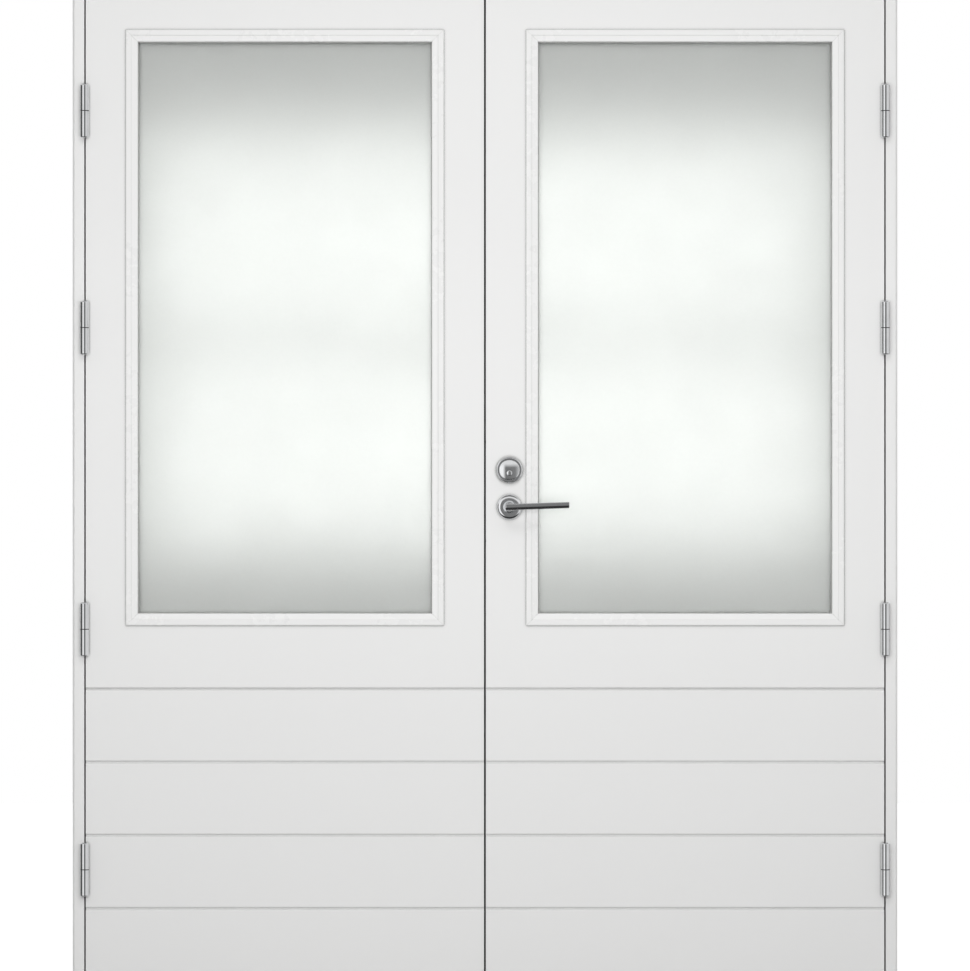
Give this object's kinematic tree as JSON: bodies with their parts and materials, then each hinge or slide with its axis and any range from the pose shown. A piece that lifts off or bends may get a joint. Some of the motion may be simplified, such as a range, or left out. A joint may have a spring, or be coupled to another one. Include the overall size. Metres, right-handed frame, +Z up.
{
  "type": "french doors",
  "caption": "Pair of white outward-opening glazed doors in their frame, with grooved lower panels, frosted panes, a lever handle and rod locks.",
  "frame": {"origin": "underside of the threshold, in the middle of the doorway's width and of the frame's depth", "axes": "+X across the doorway to the right seen from outside, +Y from outside to inside, +Z up"},
  "size_m": [1.69, 0.17, 2.09],
  "materials": {
    "painted_frame": "satin",
    "painted_timber": "satin",
    "painted_face": "satin",
    "core_board": "matte",
    "oiled_hardwood": "satin",
    "white_bead": "satin",
    "frosted_glass": "satin",
    "clear_glass": "gloss",
    "spacer_bar": "satin",
    "polished_hinge": "polished",
    "polished_chrome": "polished",
    "hinge_screw": "satin",
    "lock_steel": "satin",
    "black_rubber": "matte"
  },
  "bodies": {
    "frame": {"left_jamb": "painted_frame", "right_jamb": "painted_frame", "head_jamb": "painted_frame", "threshold": "oiled_hardwood", "frame_seal": "black_rubber", "frame_hinges": "polished_hinge", "hinge_pins": "hinge_screw", "frame_hinge_screws": "hinge_screw", "rod_keeps": "lock_steel"},
    "left_leaf": {"left_hinge_stile": "painted_timber", "left_meeting_stile": "painted_timber", "left_top_rail": "painted_timber", "left_middle_rail": "painted_timber", "left_bottom_rail": "painted_timber", "left_core": "core_board", "left_upper_face": "painted_face", "left_lower_face": "painted_face", "left_inner_face": "painted_face", "left_outer_pane": "frosted_glass", "left_inner_pane": "clear_glass", "left_spacer": "spacer_bar", "left_outer_beads": "white_bead", "left_inner_beads": "white_bead", "left_hinges": "polished_hinge", "left_hinge_screws": "hinge_screw", "strike_plate": "lock_steel", "meeting_seal": "black_rubber", "flush_plates": "lock_steel"},
    "right_leaf": {"right_hinge_stile": "painted_timber", "right_meeting_stile": "painted_timber", "right_top_rail": "painted_timber", "right_middle_rail": "painted_timber", "right_bottom_rail": "painted_timber", "right_core": "core_board", "right_upper_face": "painted_face", "right_lower_face": "painted_face", "right_inner_face": "painted_face", "right_outer_pane": "frosted_glass", "right_inner_pane": "clear_glass", "right_spacer": "spacer_bar", "right_outer_beads": "white_bead", "right_inner_beads": "white_bead", "right_hinges": "polished_hinge", "right_hinge_screws": "hinge_screw", "lock_case": "lock_steel", "handle_roses": "polished_chrome", "cylinder_ring": "polished_chrome", "cylinder": "polished_chrome", "thumb_rose": "polished_chrome"},
    "lever": {"hub": "lock_steel", "spindle": "lock_steel", "outer_lever": "polished_chrome", "inner_lever": "polished_chrome"},
    "centre_bolt": {"centre_bolt": "lock_steel"},
    "top_rod": {"top_rod": "lock_steel"},
    "bottom_rod": {"bottom_rod": "lock_steel"},
    "deadbolt": {"deadbolt": "lock_steel"},
    "thumb": {"thumb_turn": "polished_chrome", "bolt_cam": "lock_steel"},
    "plug": {"plug": "polished_chrome"},
    "top_flush": {"top_flush_bolt": "lock_steel"},
    "bottom_flush": {"bottom_flush_bolt": "lock_steel"}
  },
  "joints": [
    {"name": "left_leaf_swing", "type": "hinge", "parent": "frame", "child": "left_leaf", "pos_m": [-0.8195, -0.0617, 0], "axis": [0, 0, -1], "range_deg": [0, 110]},
    {"name": "right_leaf_swing", "type": "hinge", "parent": "frame", "child": "right_leaf", "pos_m": [0.8195, -0.0617, 0], "axis": [0, 0, 1], "range_deg": [0, 110]},
    {"name": "lever_turn", "type": "hinge", "parent": "right_leaf", "child": "lever", "pos_m": [0.05005, -0.0215, 1.003], "axis": [0, 1, 0], "range_deg": [0, 90]},
    {"name": "centre_bolt_slide", "type": "slide", "parent": "right_leaf", "child": "centre_bolt", "axis": [-1, 0, 0], "range_m": [0, 0.01885]},
    {"name": "top_rod_slide", "type": "slide", "parent": "right_leaf", "child": "top_rod", "axis": [0, 0, 1], "range_m": [0, 0.01885]},
    {"name": "bottom_rod_slide", "type": "slide", "parent": "right_leaf", "child": "bottom_rod", "axis": [0, 0, -1], "range_m": [0, 0.01885]},
    {"name": "thumb_turn", "type": "hinge", "parent": "right_leaf", "child": "thumb", "pos_m": [0.05005, -0.0215, 1.0727], "axis": [0, 1, 0], "range_deg": [0, 90]},
    {"name": "plug_turn", "type": "hinge", "parent": "right_leaf", "child": "plug", "pos_m": [0.05005, -0.0215, 1.0727], "axis": [0, 1, 0], "range_deg": [0, 90]},
    {"name": "deadbolt_slide", "type": "slide", "parent": "right_leaf", "child": "deadbolt", "axis": [-1, 0, 0], "range_m": [0, 0.01885]},
    {"name": "top_flush_slide", "type": "slide", "parent": "left_leaf", "child": "top_flush", "axis": [0, 0, 1], "range_m": [0, 0.02]},
    {"name": "bottom_flush_slide", "type": "slide", "parent": "left_leaf", "child": "bottom_flush", "axis": [0, 0, -1], "range_m": [0, 0.02]}
  ],
  "couplings": [
    {"joint": "centre_bolt_slide", "follows": "lever_turn", "m_per_rad": 0.012},
    {"joint": "top_rod_slide", "follows": "lever_turn", "m_per_rad": 0.012},
    {"joint": "bottom_rod_slide", "follows": "lever_turn", "m_per_rad": 0.012},
    {"joint": "plug_turn", "follows": "thumb_turn", "ratio": 1},
    {"joint": "deadbolt_slide", "follows": "thumb_turn", "m_per_rad": 0.012}
  ]
}
